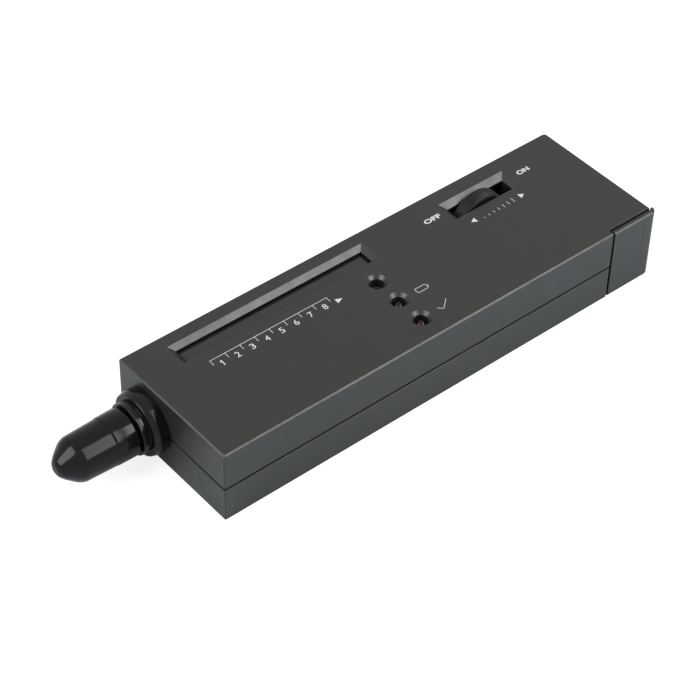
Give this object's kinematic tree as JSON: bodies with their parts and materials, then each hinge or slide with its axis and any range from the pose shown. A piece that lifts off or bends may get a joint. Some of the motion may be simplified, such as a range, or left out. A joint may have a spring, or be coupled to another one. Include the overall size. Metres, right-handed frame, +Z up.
{
  "type": "diamond tester",
  "caption": "Handheld gem tester: flat plastic casing with a capped, sprung probe at the front, a lamp window, a thumbwheel switch and a slide-off battery cover.",
  "frame": {"origin": "centre of the bounding box in X and Y, on the plane that the flat underside rests on", "axes": "-X along the probe towards its tip, +X towards the battery cover, +Y towards the long side with the window and the thumbwheel, +Z up out of the face with the window"},
  "size_m": [0.1704, 0.0418, 0.0234],
  "materials": {
    "case_grey": "fine satin grain",
    "smoked_red": "clear gloss, smoked",
    "gloss_black": "gloss",
    "matt_black": "matt",
    "copper": "polished copper",
    "steel": "satin",
    "nickel": "nickel plated",
    "board_green": "solder mask over glass laminate",
    "lamp_red": "tinted clear",
    "lamp_green": "tinted clear",
    "lamp_yellow": "tinted clear",
    "ceramic": "unglazed ceramic",
    "chip_black": "moulded epoxy",
    "trimmer_blue": "satin",
    "sleeve_blue": "shrunk sleeve",
    "battery_shell": "lacquered metal jacket",
    "lead_red": "vinyl",
    "lead_black": "vinyl",
    "lead_white": "vinyl"
  },
  "bodies": {
    "casing": {"top_shell": "case_grey", "bottom_shell": "case_grey", "display_window": "smoked_red", "contact_plate": "steel", "contact_spring": "nickel", "case_screw_1": "steel", "case_screw_2": "steel", "case_screw_3": "steel", "case_screw_4": "steel", "probe_collar": "matt_black", "probe_nose": "ceramic", "tip_spring": "nickel", "probe_plug": "matt_black", "probe_lead_red": "lead_red", "probe_lead_white": "lead_white", "main_board": "board_green", "board_screw_1": "steel", "board_screw_2": "steel", "board_screw_3": "steel", "scale_lamp_01": "lamp_red", "scale_lamp_02": "lamp_red", "scale_lamp_03": "lamp_red", "scale_lamp_04": "lamp_red", "scale_lamp_05": "lamp_yellow", "scale_lamp_06": "lamp_yellow", "scale_lamp_07": "lamp_yellow", "scale_lamp_08": "lamp_yellow", "scale_lamp_09": "lamp_green", "scale_lamp_10": "lamp_green", "scale_lamp_11": "lamp_green", "scale_lamp_12": "lamp_green", "ready_lamp": "lamp_red", "battery_lamp": "lamp_red", "sounder": "chip_black", "driver_chip": "chip_black", "amplifier_chip": "chip_black", "trimmer": "trimmer_blue", "capacitor_1": "sleeve_blue", "capacitor_2": "sleeve_blue", "volume_control": "chip_black", "volume_board": "board_green", "volume_board_screw_1": "steel", "volume_board_screw_2": "steel", "battery": "battery_shell", "battery_terminal_plus": "nickel", "battery_terminal_minus": "nickel", "battery_clip": "lead_black", "clip_socket": "nickel", "clip_stud": "nickel", "battery_lead_red": "lead_red", "battery_lead_black": "lead_black", "volume_harness": "lead_white"},
    "cap": {"probe_cap": "gloss_black"},
    "tip": {"probe_tip": "copper", "heater_element": "ceramic"},
    "wheel": {"volume_wheel": "matt_black", "wheel_screw": "steel", "control_shaft": "nickel"},
    "cover": {"battery_cover": "case_grey"}
  },
  "joints": [
    {"name": "cap_pull", "type": "slide", "parent": "casing", "child": "cap", "axis": [-1, 0, 0], "range_m": [0, 0.03]},
    {"name": "tip_press", "type": "slide", "parent": "casing", "child": "tip", "axis": [1, 0, 0], "range_m": [0, 0.001], "stiffness_N_per_m": 500, "springref_m": -0.002, "deforming": ["tip_spring"]},
    {"name": "wheel_turn", "type": "hinge", "parent": "casing", "child": "wheel", "pos_m": [0.05145, 0.01166, 0.0154], "axis": [0, 1, 0], "range_deg": [0, 280]},
    {"name": "cover_slide", "type": "slide", "parent": "casing", "child": "cover", "axis": [1, 0, 0], "range_m": [0, 0.03]}
  ]
}
